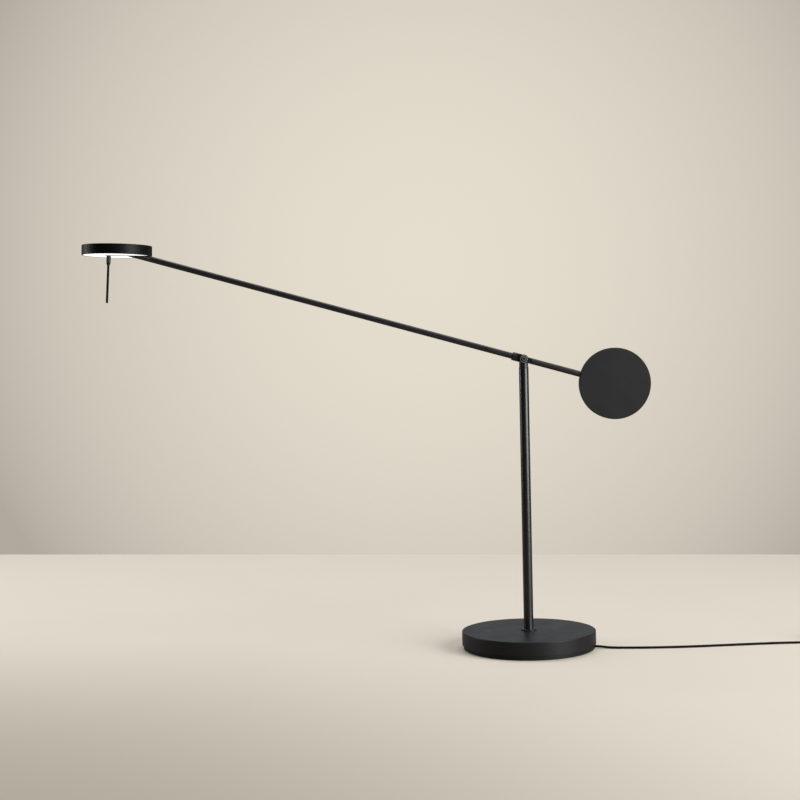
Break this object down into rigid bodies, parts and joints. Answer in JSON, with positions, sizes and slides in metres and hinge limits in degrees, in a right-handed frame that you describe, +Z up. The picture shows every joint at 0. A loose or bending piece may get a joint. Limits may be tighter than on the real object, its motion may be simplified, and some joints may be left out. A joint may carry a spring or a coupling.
{
  "type": "desk lamp",
  "caption": "Balance-arm desk lamp: long tube arm on a slim pole, small disc head with a stick handle, round counterweight, round weighted base, cord coiled beside it with its plug-in driver.",
  "frame": {"origin": "centre of the round base on the surface that it stands on", "axes": "+X from the pole to the counterweight, +Y away from the front, +Z up the pole"},
  "size_m": [1.1343, 0.18, 0.5549],
  "materials": {
    "base_paint": "matte",
    "pole_paint": "satin",
    "arm_paint": "satin",
    "weight_paint": "matte",
    "head_paint": "matte",
    "black_steel": "satin",
    "handle_black": "matte",
    "plinth_plastic": "matte",
    "pivot_steel": "satin",
    "foot_rubber": "matte",
    "cast_iron": "matte",
    "zinc_steel": "satin",
    "bearing_brass": "satin",
    "spring_brass": "gloss",
    "washer_plastic": "matte",
    "key_plastic": "satin",
    "board_green": "satin",
    "part_black": "satin",
    "led_metal": "matte",
    "chip_yellow": "gloss",
    "reflector_white": "matte",
    "diffuser_opal": "satin",
    "cord_black": "matte",
    "lead_white": "satin",
    "driver_black": "matte",
    "pin_metal": "satin"
  },
  "bodies": {
    "base": {"base_cover": "base_paint", "base_weight": "cast_iron", "bottom_plate": "plinth_plastic", "foot_pad": "foot_rubber", "bottom_screws": "zinc_steel", "touch_key": "key_plastic", "touch_spring": "spring_brass", "dimmer_board": "board_green", "dimmer_parts": "part_black", "board_screws": "zinc_steel", "cord_bush": "cord_black", "inner_lead": "cord_black", "pole_nipple": "zinc_steel", "pole_nut": "zinc_steel", "lock_washer": "zinc_steel", "pole_collar": "black_steel", "pole_tube": "pole_paint", "swivel_bush": "bearing_brass", "swivel_screw": "black_steel", "pole_lead": "lead_white", "power_cord": "cord_black", "power_cord_coil": "cord_black", "power_cord_tail": "cord_black", "driver_body": "driver_black", "driver_bush": "cord_black", "driver_pins": "pin_metal"},
    "fork": {"fork": "black_steel", "thrust_washer": "part_black", "friction_washers": "washer_plastic", "front_washer": "pivot_steel", "pivot_screw": "pivot_steel", "spring_washer": "zinc_steel", "pivot_nut": "black_steel"},
    "arm": {"arm_knuckle": "black_steel", "arm_tube": "arm_paint", "knuckle_screw": "black_steel", "roll_screw": "black_steel", "counterweight_tube": "arm_paint", "counterweight": "weight_paint", "counterweight_screw": "black_steel", "arm_lead": "lead_white"},
    "head_joint": {"head_knuckle": "black_steel"},
    "head": {"head_rim": "head_paint", "head_cap": "head_paint", "pivot_block": "head_paint", "head_pin": "zinc_steel", "pin_clip": "zinc_steel", "head_spacers": "washer_plastic", "block_screws": "zinc_steel", "led_board": "led_metal", "led_chips": "chip_yellow", "reflector": "reflector_white", "diffuser": "diffuser_opal", "handle_ferrule": "black_steel", "handle_rod": "handle_black"}
  },
  "joints": [
    {"name": "pole_swivel", "type": "hinge", "parent": "base", "child": "fork", "pos_m": [0, 0, 0.377], "axis": [0, 0, 1], "range_deg": [-150, 150]},
    {"name": "arm_tilt", "type": "hinge", "parent": "fork", "child": "arm", "pos_m": [0, 0, 0.39], "axis": [0, 1, 0], "range_deg": [-46, 23]},
    {"name": "head_roll", "type": "hinge", "parent": "arm", "child": "head_joint", "pos_m": [-0.54161, 0, 0.54735], "axis": [0.9603, 0, -0.279], "range_deg": [-90, 90]},
    {"name": "head_tilt", "type": "hinge", "parent": "head_joint", "child": "head", "pos_m": [-0.54161, 0, 0.54735], "axis": [0, 1, 0], "range_deg": [-75, 14.3]}
  ]
}
